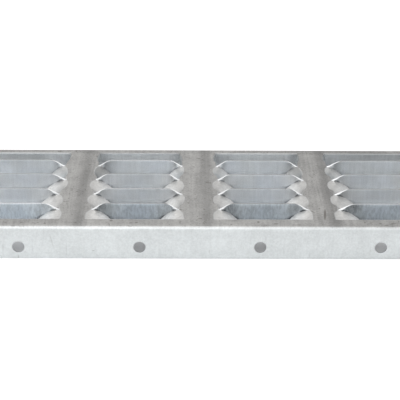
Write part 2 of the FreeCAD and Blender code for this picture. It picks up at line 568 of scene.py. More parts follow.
# Bends of the pressed form, as powers, shares and rates
LEAST_TILT = 1e-3
SHELF_SINK_POWER = 1.75
FLAP_SINK_POWER = 2.0
FLAP_FOOT_POWER = 1.15
LIP_RISE_POWER = 1.3
FOOT_SHARE = 2 / 3
DRAW_POWER = 4.0
TWIST_SHARE = 2 / 3
TIP_TAPER = 2.0 * MM
BULGE_POWER = 0.6
FLAP_BULGE_RATE = 2.2
STEEP_BULGE_CUT = 0.25

# Parts of a strip that count as a sloping end, and as a neck that is trodden like the ribs
CREASE_SOFT = 2.0 * MM
FACET_COURSES = (1.2, 3.0)
NECK_COURSES = (1.6, 3.2)
NECK_INSETS = (4.0 * MM, 12.0 * MM)

# Numbers kept for each bay, so that every lip and slit end has one of its own
LIP_PLACES = 20.0
TIP_PLACES = 40.0


def mark_of(wires, name):
    """A mark that the blank's points carry."""
    return wires.output("GeometryNodeInputNamedAttribute", {"Name": name}, "Attribute", data_type="FLOAT")


def scatter(wires, seed, place, low, high):
    """A fixed random value for each numbered place."""
    made = wires.node("FunctionNodeRandomValue", data_type="FLOAT")
    sockets = {socket.identifier: socket for socket in made.inputs}
    for name, value in (("Min_001", low), ("Max_001", high), ("ID", place), ("Seed", seed)):
        wires.feed(sockets[name], value)
    return Value(wires, made.outputs[1])


def part_of(wires, course, number):
    """How much of one course lies in front of a point, from 0 to 1."""
    return wires.within(course - number, 0.0, 1.0)


def press_tree():
    """Presses every strip of the blank: lip up, web down, foot fold, shelf, with curved end creases."""
    tree, w, given, ends = open_tree(
        "Press Louvres", "GeometryNodeTree", PRESS_INPUTS, [("Geometry", "NodeSocketGeometry")]
    )
    names = ("inset", "across", "course", "strip", "bay", "side", "pull")
    inset, across, course, strip, bay, side, pull = [mark_of(w, name) for name in names]
    is_strip = w.math("GREATER_THAN", strip, 0.5)
    is_flap = 1.0 - is_strip
    inside = w.math("GREATER_THAN", inset, 0.0)
    width = w.between(is_strip, given["Flap Width"], given["Strip Pitch"])
    part = across / width

    # Depth of the pressing at each point's distance in from the slit's end
    rows_lit = given["Strip Count"] - given["Steep Rows"]
    steep = w.math("MAXIMUM", strip - rows_lit, 0.0)
    ramp = given["Shelf Ramp"] - given["Ramp Cut"] * steep * steep
    way_in_raw = inset / ramp
    way_in = w.math("MINIMUM", way_in_raw, 1.0)
    sunk = w.math("POWER", way_in, w.between(is_strip, FLAP_SINK_POWER, SHELF_SINK_POWER))
    climb = w.math("MINIMUM", inset / given["Lip Ramp"], 1.0)
    lip_place = bay * LIP_PLACES + strip
    lip_share = scatter(w, given["Seed"], lip_place, 1.0 - given["Lip Scatter"], 1.0)
    arched = w.math("POWER", w.math("SINE", climb * (math.pi / 2)), LIP_RISE_POWER)
    rise = given["Lip Rise"] * (arched * is_strip * lip_share)
    foot_way = w.math("MINIMUM", way_in_raw / FOOT_SHARE, 1.0)
    edge_drop = given["Shelf Drop"] * sunk
    flap_foot = w.math("POWER", way_in, FLAP_FOOT_POWER)
    drop = given["Shelf Drop"] * w.between(is_strip, flap_foot, foot_way)

    # A web lies flat at the slit's end and stands up quickly
    full = given["Shelf Drop"] + given["Lip Rise"] * is_strip
    middle_run = full / w.math("TANGENT", given["Web Angle"])
    twist = w.math("MINIMUM", inset / (given["Lip Ramp"] * TWIST_SHARE), 1.0)
    web_run = w.between(twist, given["Web Root"], middle_run)
    tilt = w.math("MAXIMUM", w.math("ARCTANGENT", (rise + drop) / web_run), LEAST_TILT)
    tilt_sine = w.math("SINE", tilt)
    tilt_cosine = w.math("COSINE", tilt)

    # Radii of the folds, and lengths of sheet in the web and the shelf
    foot_radius = given["Foot Arc"] / tilt
    hinge_radius = given["Hinge Arc"] * is_flap / tilt
    half_tangent = w.math("TANGENT", tilt * 0.5)
    radii = hinge_radius + foot_radius
    web = web_run / tilt_cosine - radii * half_tangent
    drawn = given["Draw Share"] * width * w.math("POWER", way_in, DRAW_POWER)
    steep_run = web * tilt_cosine + radii * tilt_sine
    shelf = width - drawn - steep_run

    # How far back and down the sheet's path takes each point
    hinge_turn = part_of(w, course, HINGE_COURSE) * tilt
    on_web = part_of(w, course, WEB_COURSE) * web
    foot_turn = (1.0 - part_of(w, course, FOOT_COURSE)) * tilt
    shelf_part = part_of(w, course, SHELF_COURSE)
    back = (
        hinge_radius * w.math("SINE", hinge_turn)
        + on_web * tilt_cosine
        + foot_radius * (tilt_sine - w.math("SINE", foot_turn))
        + shelf_part * shelf
    )
    down = (
        hinge_radius * (1.0 - w.math("COSINE", hinge_turn))
        + on_web * tilt_sine
        + foot_radius * (w.math("COSINE", foot_turn) - tilt_cosine)
        + shelf_part * (edge_drop - drop)
    )
    gap_share = w.math("MINIMUM", inset / TIP_TAPER, 1.0)
    gap_place = is_strip * 0.5 - part * w.between(is_strip, 0.5, 1.0)
    gap = gap_share * given["Slit Gap"] * gap_place
    move_y = inside * (back - across + gap)
    move_z = inside * (rise - down)

    # End creases that curve outwards, and slits that differ in length
    strip_wave = w.math("MAXIMUM", w.math("SINE", shelf_part * math.pi), 0.0)
    strip_bulge = given["Crease Bulge"] * w.math("POWER", strip_wave, BULGE_POWER)
    strip_bulge *= 1.0 - STEEP_BULGE_CUT * steep
    flap_reach = w.math("MINIMUM", (1.0 - part) * FLAP_BULGE_RATE, 1.0)
    flap_bulge = given["Flap Bulge"] * w.math("SINE", flap_reach * (math.pi / 2))
    lean = 1.0 - given["Bulge Lean"] * side
    bulge = lean * w.between(is_strip, flap_bulge, strip_bulge)
    on_right = w.math("GREATER_THAN", side, 0.0)
    first_end = w.math("LESS_THAN", bay, 0.5) * on_right
    in_last = w.math("GREATER_THAN", bay, given["Bay Count"] - 1.5)
    last_end = in_last * (1.0 - on_right)
    reach = given["First Reach"] * first_end + given["Last Reach"] * last_end
    tip_place = bay * TIP_PLACES + strip * 2.0 + on_right
    odd = w.math("MODULO", strip + bay, 2.0)
    stagger = given["Tip Stagger"] * on_right * (1.0 - odd * 2.0)
    most = given["Tip Scatter"]
    least = most * -1.0
    rear_tip = scatter(w, given["Seed"] + 1, tip_place, least, most)
    front_tip = scatter(w, given["Seed"] + 1, tip_place - 2.0, least, most)
    front_length = is_strip * (front_tip - stagger)
    tip = w.between(part, front_length, rear_tip + stagger)
    move_x = pull * (bulge + tip + reach)

    offset = w.vector(move_x, move_y, move_z)
    shape = w.output("GeometryNodeSetPosition", {"Geometry": given["Geometry"], "Offset": offset})
    slope = 1.0 - w.step(inset, ramp - CREASE_SOFT, ramp + CREASE_SOFT)
    facet = slope * inside * w.math("MAXIMUM", is_flap, w.step(course, *FACET_COURSES))
    far_in = w.step(inset, *NECK_INSETS)
    behind = w.step(course, *NECK_COURSES)
    neck = inside * is_strip * (1.0 - far_in) * (1.0 - behind)
    for name, value in (("facet", facet), ("neck", neck)):
        feeds = {"Geometry": shape, "Name": name, "Value": value}
        shape = w.output("GeometryNodeStoreNamedAttribute", feeds, data_type="FLOAT", domain="POINT")
    shape = w.output("GeometryNodeRealizeInstances", {"Geometry": shape})
    coat = given["Sheet Material"]
    w.feed(ends["Geometry"], w.output("GeometryNodeSetMaterial", {"Geometry": shape, "Material": coat}))
    return tree


def press_values(sheet, coat):
    """Values for the press tree's named inputs."""
    foot, hinge = folds_of(sheet)
    values = {name: float(getattr(sheet, name.lower().replace(" ", "_"))) for name in PRESS_SIZES}
    sums = (float(strip_count_of(sheet)), float(bay_count_of(sheet)), foot, hinge)
    values.update(zip(PRESS_SUMS, sums))
    values.update({"Seed": sheet.seed, "Sheet Material": coat})
    return values


def add_press(piece, sheet, coat):
    """Puts the press tree on the blank, with its inputs set by identifier."""
    tree = press_tree()
    press = piece.modifiers.new("Press Louvres", "NODES")
    press.node_group = tree
    values = press_values(sheet, coat)
    for item in tree.interface.items_tree:
        if item.in_out == "INPUT" and item.name in values:
            press[item.identifier] = values[item.name]


def add_object(name, data):
    """A new object in the scene."""
    made = bpy.data.objects.new(name, data)
    bpy.context.scene.collection.objects.link(made)
    return made


def as_plain_mesh(piece, name):
    """The evaluated piece as a new object with a plain mesh and no modifiers."""
    graph = bpy.context.evaluated_depsgraph_get()
    mesh = bpy.data.meshes.new_from_object(
        piece.evaluated_get(graph), preserve_all_data_layers=True, depsgraph=graph
    )
    mesh.name = name
    blank = piece.data
    bpy.data.objects.remove(piece)
    bpy.data.meshes.remove(blank)
    return add_object(name, mesh)


# Zinc finishes

WHITE = (1.0, 1.0, 1.0, 1.0)

# Scales of the zinc's cloud and grain
SHEET_BLOOM = (45.0, 420.0)
WIDE_BLOOM = (14.0, 160.0)
UNDER_BLOOM = (22.0, 900.0)
EDGE_BLOOM = (60.0, 500.0)
CLOUD_LEVELS = (0.3, 0.7)
GRAIN_LEVELS = (0.25, 0.75)

# Drawn lines: stretch along each axis, and the noise levels at which they begin and are full
UPRIGHT_LINES = ((320.0, 320.0, 26.0), 0.35, 0.7)
HAIR_LINES = ((900.0, 60.0, 60.0), 0.6, 0.75)
SCRAPE_LINES = ((230.0, 40.0, 40.0), 0.62, 0.78)
STREAK_LINES = ((330.0, 12.0, 12.0), 0.3, 0.7)
HATCH_LINES = ((420.0, 420.0, 150.0), 0.35, 0.65)
SHEAR_LINES = ((700.0, 700.0, 90.0), 0.35, 0.7)

# How far textures move the tone: pairs are for clean and trodden zinc, or for louvres and skirts
CLOUD_SWING = (0.10, 0.24)
WIDE_SWING = (0.06, 0.14)
GRAIN_SWING = (0.13, 0.28)
UPRIGHT_SWING = (0.10, 0.03)
STREAK_SWING = 0.16
UNDER_CLOUD_SWING = 0.12
UNDER_UPRIGHT_SWING = 0.08
UNDER_GRAIN_SWING = 0.16
HATCH_SWING = 0.26
EDGE_CLOUD_SWING = 0.1
SHEAR_SWING = 0.08

# Shine and fine relief: bumps are given by strength and height
METALLIC = 0.75
ROUGH = 0.36
ROUGH_CLOUD = 0.10
ROUGH_LINES = 0.06
ROUGH_TRODDEN = 0.1
EDGE_ROUGH = 0.28
EDGE_ROUGH_GRAIN = 0.14
CLOUD_RELIEF = 2.0
SHEET_BUMP = (0.25, 0.2 * MM)
EDGE_BUMP = (0.2, 0.1 * MM)

# Trodden ribs and bands: where the wear begins on the front fold, and tones by place
RUBBED_FROM = (-13.0 * MM, 6.0 * MM)
BAND_LIFT = 0.16
BAND_LIFT_DEEP = (5.0 * MM, 12.0 * MM)
BAND_LIFT_RIGHT = (10.0 * MM, 60.0 * MM)
# Painted shade: ribs and bands darker towards the right
RIGHT_RIB_SHADE = 0.1
RIGHT_RIB_SHADE_FROM = (60.0 * MM, 160.0 * MM)
REAR_DULL = 0.1
REAR_SOFT = 4.0 * MM
# Painted shade: a darker band along each rib, by offset, half width, depth and swing
RIB_SHADE_OFFSET = 8.0 * MM
RIB_SHADE_HALF = 14.0 * MM
RIB_SHADE_DEPTH = 0.32
RIB_SHADE_SWING = (0.6, 1.1)
SPECK_LEVELS = (0.82, 0.96)
SPECK_DEPTH = 0.6

# Skirts
SKIRT_FADE = 0.07
# Painted shade: skirts darker towards the right
SKIRT_RIGHT_SHADE = 0.035
SKIRT_SHADE_FROM = (-60.0 * MM, 160.0 * MM)
HAIR_DEPTH = 0.16
SCRAPE_DEPTH = 0.3

# Marks rubbed into the zinc: place and half sizes in millimetres, slant, depth
RUB_LEVELS = (0.1, 1.0)
TOP_RUBS = (
    (147.4, -84.0, 1.8, 19.0, 0.097, 0.8),
    (-144.3, -108.0, 2.2, 2.8, 0.0, 0.4),
    (-103.2, -102.0, 2.4, 3.2, 0.0, 0.65),
    (-80.4, -108.0, 2.4, 2.6, 0.2, 0.45),
    (-73.7, -107.0, 2.6, 2.8, 0.0, 0.55),
    (68.0, -105.0, 2.0, 3.2, 0.0, 0.65),
    (88.0, -109.5, 3.4, 2.6, 0.3, 0.5),
    (115.0, -112.5, 2.6, 2.6, 0.0, 0.4),
    (199.0, -106.5, 2.6, 2.6, 0.2, 0.45),
    (209.5, -108.0, 2.2, 2.8, 0.0, 0.5),
    (216.0, -113.0, 2.8, 2.4, 0.0, 0.5),
)
SKIRT_RUBS = (
    (-171.2, 22.0, 0.8, 11.0, -0.21, 0.16),
    (-154.7, 13.0, 0.8, 12.0, 0.0, 0.12),
    (-123.5, 10.0, 2.0, 1.0, 0.0, 0.25),
    (-210.5, 2.0, 0.8, 2.6, 0.1, 0.25),
    (10.9, 9.0, 0.8, 3.4, 0.0, 0.16),
    (198.0, 12.0, 0.8, 9.0, 0.05, 0.1),
)

# Sloping ends: painted shade by the rib and painted light further in, each of the flap and of the strips,
# and single ends with painted shade (bay, strip, side, depth)
# Courses along which the steep rows' ends keep painted light at their rear edge
LIT_COURSES = (3.2, 3.8)
FACET_LIT_FROM = 16.0 * MM
FACET_NEAR = (0.74, 0.72)
FACET_FAR = (1.34, 1.15)
LEFT_FACET_SHADE = 0.92
SHADED_FACETS = (
    (1, 3, -1, 0.36), (1, 3, 1, -0.06), (2, 3, 1, 0.34), (2, 2, 1, 0.06), (2, 1, 1, 0.06), (2, 0, 1, 0.08),
)

# Webs: painted shade by row and towards their ends (the front row's on the right and left), painted light
# towards their feet, and single webs that are paler (bay, strip, depth)
REAR_WEB_TONE = 0.92
ROW_SHADE = 0.06
BLUE_SHARE = 0.4
BLUE_CAST = (0.93, 0.97, 1.06, 1.0)
WEB_END_SHADE = 0.32
WEB_ENDS = (7.0 * MM, 19.0 * MM)
FRONT_END_SHADE = (0.34, 0.52)
FRONT_ENDS = (12.0 * MM, 32.0 * MM)
FOOT_COURSES = (1.5, 1.95)
FOOT_LIGHT_LIFTS = ((2, 0.38), (3, 0.22), (4, 0.1))
WEB_LIFTS = (
    (0, 0, 0.15), (0, 1, 0.36), (0, 2, 0.1), (1, 1, 0.05), (2, 1, 0.07), (3, 2, -0.1), (3, 3, -0.07),
    (3, 4, -0.13),
)

# Underside that isn't pressed: painted light on the top and on the skirts, and darker towards the ends
PRESSED_FROM = (4.0 * MM, 10.0 * MM)
PLAIN_LIGHT_LIFT = (0.6, 0.2)
END_BAYS = (150.0 * MM, 230.0 * MM)
END_BAY_DULL = 0.45

# Sheared edges: where a lip's painted highlight gives way to painted shade, single lips with more painted
# highlight (bay, strip, depth) and tones of the rear rim's painted highlight (bay, tone)
LIP_SHADE_FROM = (11.0 * MM, 17.0 * MM)
TRODDEN_EDGE_DULL = 0.35
REAR_RIM_SOFT = 1.0 * MM
LONGER_LIP_HIGHLIGHTS = ((0, 1, 0.55), (0, 3, 0.1), (1, 2, 0.2), (1, 4, 0.2), (3, 1, 0.25), (3, 4, -0.2))
REAR_RIM_HIGHLIGHTS = ((0, 0.9), (1, 0.74), (2, 0.8), (3, 0.66))

# How closely a mark has to match a listed number
MARK_SLACK = 0.1

Groups = collections.namedtuple("Groups", "bloom drawn rub")


def bloom_group():
    """Cloudy bloom and fine grain of a hot-dip zinc coat."""
    tree, w, given, ends = open_tree(
        "Zinc Bloom", "ShaderNodeTree",
        [("Vector", "NodeSocketVector"), *floats("Cloud Scale", "Grain Scale")],
        floats("Cloud", "Grain"),
    )
    cloud = w.output("ShaderNodeTexNoise", {
        "Vector": given["Vector"], "Scale": given["Cloud Scale"], "Detail": 5.0, "Roughness": 0.62,
        "Distortion": 0.4,
    })
    grain = w.output("ShaderNodeTexNoise", {
        "Vector": given["Vector"], "Scale": given["Grain Scale"], "Detail": 3.0, "Roughness": 0.7,
    })
    w.feed(ends["Cloud"], w.step(cloud, *CLOUD_LEVELS))
    w.feed(ends["Grain"], w.step(grain, *GRAIN_LEVELS))
    return tree


def drawn_group():
    """Fine lines drawn into the zinc, long one way and close together the other."""
    tree, w, given, ends = open_tree(
        "Drawn Lines", "ShaderNodeTree",
        [("Vector", "NodeSocketVector"), ("Stretch", "NodeSocketVector"), *floats("Low", "High")],
        floats("Lines"),
    )
    feeds = {0: given["Vector"], 1: given["Stretch"]}
    stretched = w.output("ShaderNodeVectorMath", feeds, operation="MULTIPLY")
    feeds = {"Vector": stretched, "Scale": 1.0, "Detail": 3.0, "Roughness": 0.6}
    lines = w.output("ShaderNodeTexNoise", feeds)
    w.feed(ends["Lines"], w.step(lines, given["Low"], given["High"]))
    return tree


def rub_group():
    """One soft oval mark, as a mask over two directions."""
    tree, w, given, ends = open_tree(
        "Rubbed Mark", "ShaderNodeTree",
        floats("Across", "Along", "Slant", "Half Across", "Half Along"),
        floats("Mask"),
    )
    aside = given["Across"] - given["Slant"] * given["Along"]
    off_across = aside / given["Half Across"]
    off_along = given["Along"] / given["Half Along"]
    off = off_across * off_across + off_along * off_along
    w.feed(ends["Mask"], 1.0 - w.step(off, *RUB_LEVELS))
    return tree


def open_material(name):
    """A new material, its wires, its Principled shader and the Object coordinates."""
    material = bpy.data.materials.new(name)
    material.use_nodes = True
    w = Wires(material.node_tree)
    shader = material.node_tree.nodes["Principled BSDF"]
    place = w.output("ShaderNodeTexCoord", which="Object")
    return material, w, shader, place


def mark_in(w, name):
    """A mark that the sheet's points carry, read in a material."""
    return w.output("ShaderNodeAttribute", which="Fac", attribute_name=name)


def picked(w, names, places):
    """The last number of each listed place, where the marks match its other numbers."""
    marks = [mark_in(w, name) for name in names]
    total = 0.0
    for *numbers, depth in places:
        here = depth
        for mark, number in zip(marks, numbers):
            here *= w.math("COMPARE", mark, float(number), MARK_SLACK)
        total += here
    return total


def placed(w, tree, feeds):
    """The outputs of a node group set into a material."""
    return w.outputs("ShaderNodeGroup", feeds, node_tree=tree)


def bloomed(w, groups, place, scales):
    """Cloud and grain of the zinc, at the scales given."""
    cloud, grain = scales
    return placed(w, groups.bloom, {"Vector": place, "Cloud Scale": cloud, "Grain Scale": grain})


def lined(w, groups, place, lines):
    """A mask of drawn lines, given by stretch and noise levels."""
    stretch, low, high = lines
    feeds = {"Vector": place, "Stretch": stretch, "Low": low, "High": high}
    return placed(w, groups.drawn, feeds)["Lines"]


def rubbed_in(w, groups, across, along, marks):
    """A mask of single marks, each given by place, half sizes, slant and depth."""
    total = 0.0
    for place_across, place_along, half_across, half_along, slant, depth in marks:
        mask = placed(w, groups.rub, {
            "Across": across - place_across * MM,
            "Along": along - place_along * MM,
            "Slant": slant,
            "Half Across": half_across * MM,
            "Half Along": half_along * MM,
        })["Mask"]
        total = w.math("MAXIMUM", total, mask * depth)
    return total


def swing(amount, texture):
    """A tone that swings about zero with a texture."""
    return amount * (texture - 0.5)


def blended(w, factor, under, over, blend="MIX"):
    """Two colours mixed by a factor."""
    made = w.node("ShaderNodeMix", data_type="RGBA", blend_type=blend)
    sockets = {socket.identifier: socket for socket in made.inputs}
    for name, value in (("Factor_Float", factor), ("A_Color", under), ("B_Color", over)):
        w.feed(sockets[name], value)
    return Value(w, next(socket for socket in made.outputs if socket.identifier == "Result_Color"))


def tinted(w, colour, cast):
    """A colour multiplied by another."""
    return blended(w, 1.0, colour, cast, "MULTIPLY")


def toned(w, colour, tone):
    """A colour made darker or lighter by a number about 1."""
    return tinted(w, colour, w.output("ShaderNodeCombineColor", {0: tone, 1: tone, 2: tone}))


def set_surface(w, shader, colour, rough, relief, bump):
    """Feeds a metal shader with its colour, roughness and fine relief."""
    strength, distance = bump
    normal = w.output("ShaderNodeBump", {"Height": relief, "Strength": strength, "Distance": distance})
    w.fill(shader, {"Base Color": colour, "Roughness": rough, "Metallic": METALLIC, "Normal": normal})


def set_zinc(w, shader, colour, zinc, upright, wear=0.0):
    """Feeds a shader with a zinc colour and with the roughness and relief of its bloom and lines."""
    rough = ROUGH + ROUGH_CLOUD * zinc["Cloud"] + ROUGH_LINES * upright + wear
    relief = zinc["Grain"] + CLOUD_RELIEF * zinc["Cloud"] + upright
    set_surface(w, shader, colour, rough, relief, SHEET_BUMP)


def facet_light_and_shade(w, finish, sheet):
    """Painted light on the sloping ends, with painted shade by the ribs, on the left and in the steep rows.
    """
    strip = mark_in(w, "strip")
    is_strip = w.math("GREATER_THAN", strip, 0.5)
    rows_lit = strip_count_of(sheet) - sheet.steep_rows
    steep = w.within(strip - rows_lit, 0.0, sheet.steep_rows)
    steep_share = steep / sheet.steep_rows
    # Painted shade on the steep rows' ends, with painted light kept along their rear edge
    lit = w.between(w.math("MINIMUM", steep, 1.0), 1.0, w.step(mark_in(w, "course"), *LIT_COURSES))
    pale = lit * (1.0 - steep_share * steep_share)
    colour = blended(w, pale, finish.shade_zinc, finish.facet_light_zinc)
    further_in = w.step(mark_in(w, "inset"), 0.0, FACET_LIT_FROM)
    near = w.between(is_strip, *FACET_NEAR)
    far = w.between(is_strip, *FACET_FAR)
    on_left = w.math("LESS_THAN", mark_in(w, "side"), 0.0)
    # Painted shade by the ribs, on the left and on single ends; painted light further in
    tone = (
        w.between(further_in, near, far)
        * w.between(on_left, 1.0, LEFT_FACET_SHADE)
        * (1.0 - picked(w, ("bay", "strip", "side"), SHADED_FACETS))
    )
    return toned(w, colour, tone)


def sheet_coat(finish, sheet, groups):
    """Zinc on the sheet's faces: dull where trodden, bluish on the louvres, bright on the skirts, with
    painted light and shade on the sloping ends and painted shade on the ribs and skirts.
    """
    material, w, shader, place = open_material("galvanised_sheet")
    x, y, z = w.apart(place)
    from_front = y - LOW.y
    trodden = mark_in(w, "trodden") * w.step(from_front, *RUBBED_FROM)
    skirt = mark_in(w, "skirt")
    zinc = bloomed(w, groups, place, SHEET_BLOOM)
    wide = bloomed(w, groups, place, WIDE_BLOOM)
    upright = lined(w, groups, place, UPRIGHT_LINES)
    streak = lined(w, groups, place, STREAK_LINES)
    hair = lined(w, groups, place, HAIR_LINES)
    scrape = lined(w, groups, place, SCRAPE_LINES)

    colour = blended(w, skirt, finish.louvre_zinc, finish.skirt_zinc)
    # Painted light and shade on the sloping ends
    colour = blended(w, mark_in(w, "facet"), colour, facet_light_and_shade(w, finish, sheet))
    for worn in (mark_in(w, "neck"), trodden):
        colour = blended(w, worn, colour, finish.rib_zinc)

    # Tones by texture and place
    by_fold = 1.0 - w.step(from_front, *BAND_LIFT_DEEP)
    on_left = 1.0 - w.step(x, *BAND_LIFT_RIGHT)
    last_slit = last_slit_of(sheet)
    colour = toned(w, colour, (
        1.0
        + swing(w.between(trodden, *CLOUD_SWING), zinc["Cloud"])
        + swing(w.between(trodden, *WIDE_SWING), wide["Cloud"])
        + swing(w.between(trodden, *GRAIN_SWING), zinc["Grain"])
        + swing((1.0 - trodden) * w.between(skirt, *UPRIGHT_SWING), upright)
        + swing(STREAK_SWING * trodden, streak)
        - SKIRT_FADE * (z / HIGH.z) * skirt
        # painted shade towards the right of the skirts
        - SKIRT_RIGHT_SHADE * skirt * w.step(x, *SKIRT_SHADE_FROM)
        + BAND_LIFT * trodden * by_fold * on_left
        # painted shade towards the right of the ribs and bands
        - RIGHT_RIB_SHADE * trodden * w.step(x, *RIGHT_RIB_SHADE_FROM)
        - REAR_DULL * trodden * w.step(y, last_slit - REAR_SOFT, last_slit)
    ))

    # Painted shade as a darker band along each rib, then specks, rubbed marks, scratches and scrapes
    off_rib_shade = w.math("PINGPONG", x - RIB_SHADE_OFFSET, sheet.bay_pitch / 2)
    path = 1.0 - w.step(off_rib_shade, 0.0, RIB_SHADE_HALF)
    rib_shade_depth = RIB_SHADE_DEPTH * trodden * w.between(wide["Cloud"], *RIB_SHADE_SWING)
    colour = toned(w, colour, 1.0 - path * rib_shade_depth)
    in_front = w.math("LESS_THAN", y, 0.0)
    for mask, shade in (
        (w.step(wide["Grain"], *SPECK_LEVELS) * trodden * SPECK_DEPTH, finish.scuff),
        (trodden * rubbed_in(w, groups, x, y, TOP_RUBS), finish.scuff),
        (skirt * in_front * rubbed_in(w, groups, x, z, SKIRT_RUBS), finish.scuff),
        (hair * skirt * HAIR_DEPTH, finish.highlight_and_scratch_zinc),
        (scrape * zinc["Grain"] * skirt * SCRAPE_DEPTH, finish.scuff),
    ):
        colour = blended(w, mask, colour, shade)
    set_zinc(w, shader, colour, zinc, upright, ROUGH_TRODDEN * trodden)
    return material


def under_coat(finish, sheet, groups):
    """Clean bluish zinc on the sheet's underside, which is also the webs' front face, with painted shade and
    light on the webs and painted light on the plain underside.
    """
    material, w, shader, place = open_material("galvanised_underside")
    x, _, _ = w.apart(place)
    zinc = bloomed(w, groups, place, SHEET_BLOOM)
    wide = bloomed(w, groups, place, UNDER_BLOOM)
    upright = lined(w, groups, place, UPRIGHT_LINES)
    hatch = lined(w, groups, place, HATCH_LINES)
    strip = mark_in(w, "strip")
    inset = mark_in(w, "inset")
    front_row = (1.0 - w.step(strip, 1.0, 2.0)) * w.math("GREATER_THAN", strip, 0.5)
    pressed = w.step(inset, *PRESSED_FROM)

    # Painted shade by row, darkest at the front, with a bluish cast in clouds
    rows_behind = float(strip_count_of(sheet)) - strip
    row_tone = REAR_WEB_TONE - ROW_SHADE * rows_behind
    colour = toned(w, finish.louvre_zinc, row_tone)
    # Painted reflection of the dark flap in front: the first row's webs darker and bluer
    colour = blended(w, front_row, colour, finish.front_row_shade_zinc)
    colour = blended(w, pressed, finish.louvre_zinc, colour)
    blue = BLUE_SHARE * pressed * wide["Cloud"]
    colour = blended(w, blue, colour, tinted(w, colour, BLUE_CAST))

    # Painted shade at the webs' ends and painted light at their feet
    shade_part = [w.between(front_row, *pair) for pair in zip(WEB_ENDS, FRONT_ENDS)]
    near_end = 1.0 - w.step(inset, *shade_part)
    on_left = w.math("LESS_THAN", mark_in(w, "side"), 0.0)
    front_shade = w.between(on_left, *FRONT_END_SHADE)
    end_shade = w.between(front_row, WEB_END_SHADE, front_shade)
    by_foot = w.step(mark_in(w, "course"), *FOOT_COURSES)
    # Painted light on the plain underside, more on the top than on the skirts
    plain_light_lift = w.between(mark_in(w, "skirt"), *PLAIN_LIGHT_LIFT)
    to_end = w.step(w.math("ABSOLUTE", x), *END_BAYS)
    tone = (
        1.0
        + swing(UNDER_CLOUD_SWING, zinc["Cloud"])
        + swing(UNDER_UPRIGHT_SWING, upright)
        + swing(UNDER_GRAIN_SWING, wide["Grain"])
        + swing(HATCH_SWING * front_row, hatch)
        + (1.0 - pressed) * (plain_light_lift - END_BAY_DULL * to_end)
        - end_shade * near_end * pressed
        + picked(w, ("bay", "strip"), WEB_LIFTS)
        # painted light towards the webs' feet
        + picked(w, ("strip",), FOOT_LIGHT_LIFTS) * by_foot
    )
    set_zinc(w, shader, toned(w, colour, tone), zinc, upright)
    return material


def edge_coat(finish, sheet, groups):
    """Painted highlight on the sheared edges and in the drilled holes, with painted shade along most lips and
    dull trodden zinc on worn edges.
    """
    material, w, shader, place = open_material("galvanised_edge")
    _, y, _ = w.apart(place)
    zinc = bloomed(w, groups, place, EDGE_BLOOM)
    shear = lined(w, groups, place, SHEAR_LINES)
    # Painted highlight at the lips' ends, painted shade along the rest, trodden zinc on worn edges
    lip_shade = w.step(mark_in(w, "inset"), *LIP_SHADE_FROM)
    lip_shade *= 1.0 - picked(w, ("bay", "strip"), LONGER_LIP_HIGHLIGHTS)
    worn = w.math("MAXIMUM", lip_shade, mark_in(w, "trodden") * TRODDEN_EDGE_DULL)
    colour = blended(w, worn, finish.highlight_and_scratch_zinc, finish.lip_shade_and_wear_zinc)
    last_slit = last_slit_of(sheet)
    rear = w.step(y, last_slit - REAR_RIM_SOFT, last_slit)
    # Painted highlight on the rear rim, toned by bay
    colour = blended(w, rear, colour, toned(w, WHITE, picked(w, ("bay",), REAR_RIM_HIGHLIGHTS)))
    tone = 1.0 + swing(EDGE_CLOUD_SWING, zinc["Cloud"]) + swing(SHEAR_SWING, shear)
    rough = EDGE_ROUGH + EDGE_ROUGH_GRAIN * zinc["Grain"]
    set_surface(w, shader, toned(w, colour, tone), rough, shear, EDGE_BUMP)
    return material


# Operators

COATS = (sheet_coat, edge_coat, under_coat)
CREASE_ANGLE = math.radians(40.0)
SHARP_ANGLE = math.radians(35.0)
ROUND_CELLS = 2


class STAIRTREAD_OT_sheet(bpy.types.Operator):
    """Folds, slits, drills and presses the zinc-coated sheet"""

    bl_idname = "stair_tread.sheet"
    bl_label = "Press Sheet"

    def execute(self, context):
        sheet = context.scene.stair_tread_sheet
        finish = context.scene.stair_tread_finish
        groups = Groups(bloom_group(), drawn_group(), rub_group())
        coats = [make_coat(finish, sheet, groups) for make_coat in COATS]
        mesh = make_blank(sheet)
        for coat in coats:
            mesh.materials.append(coat)
        piece = add_object("tread_blank", mesh)
        add_press(piece, sheet, coats[0])
        wall = piece.modifiers.new("Sheet Thickness", "SOLIDIFY")
        wall.thickness = sheet.thickness
        wall.offset = -1.0
        wall.use_even_offset = True
        wall.use_quality_normals = True
        wall.material_offset = COATS.index(under_coat)
        wall.material_offset_rim = COATS.index(edge_coat)
        rounded = piece.modifiers.new("Sheared Edges", "BEVEL")
        rounded.width = sheet.edge_round
        rounded.segments = ROUND_CELLS
        rounded.use_clamp_overlap = False
        rounded.limit_method = "ANGLE"
        rounded.angle_limit = CREASE_ANGLE
        tread = as_plain_mesh(piece, "tread_sheet")
        if not tread.data.polygons:
            raise RuntimeError("the pressed sheet has no faces")
        tread.data.shade_smooth()
        tread.data.set_sharp_from_angle(angle=SHARP_ANGLE)
        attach(tread, BODY)
        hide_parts(NODE)
        return {"FINISHED"}


FLOOR_HALF = 6.0
FLOOR_CLEAR = 0.2 * MM
FLOOR_FADE = 0.02
FLOOR_DUST_SCALE = 6.0
FLOOR_DUST_TONES = (0.99, 1.01)
FLOOR_ROUGH = 0.9

# Light of its own that the floor shows to the camera, away from the tread and under it
FLOOR_LIFT = 0.3
UNDER_LIFT = 0.17

# Soft lamps aimed at the origin: name, place, width and depth, setting of its power
LAMPS = (
    ("key_lamp", (-0.4, -1.45, 1.55), (1.8, 1.5), "key_power"),
    ("overhead_lamp", (-0.2, 0.1, 1.8), (1.6, 1.2), "fill_power"),
)
SENSOR = 36.0
IMAGE_PIXELS = 400
CAMERA_PLACE = (-0.0219, -1.4923, 0.6902)


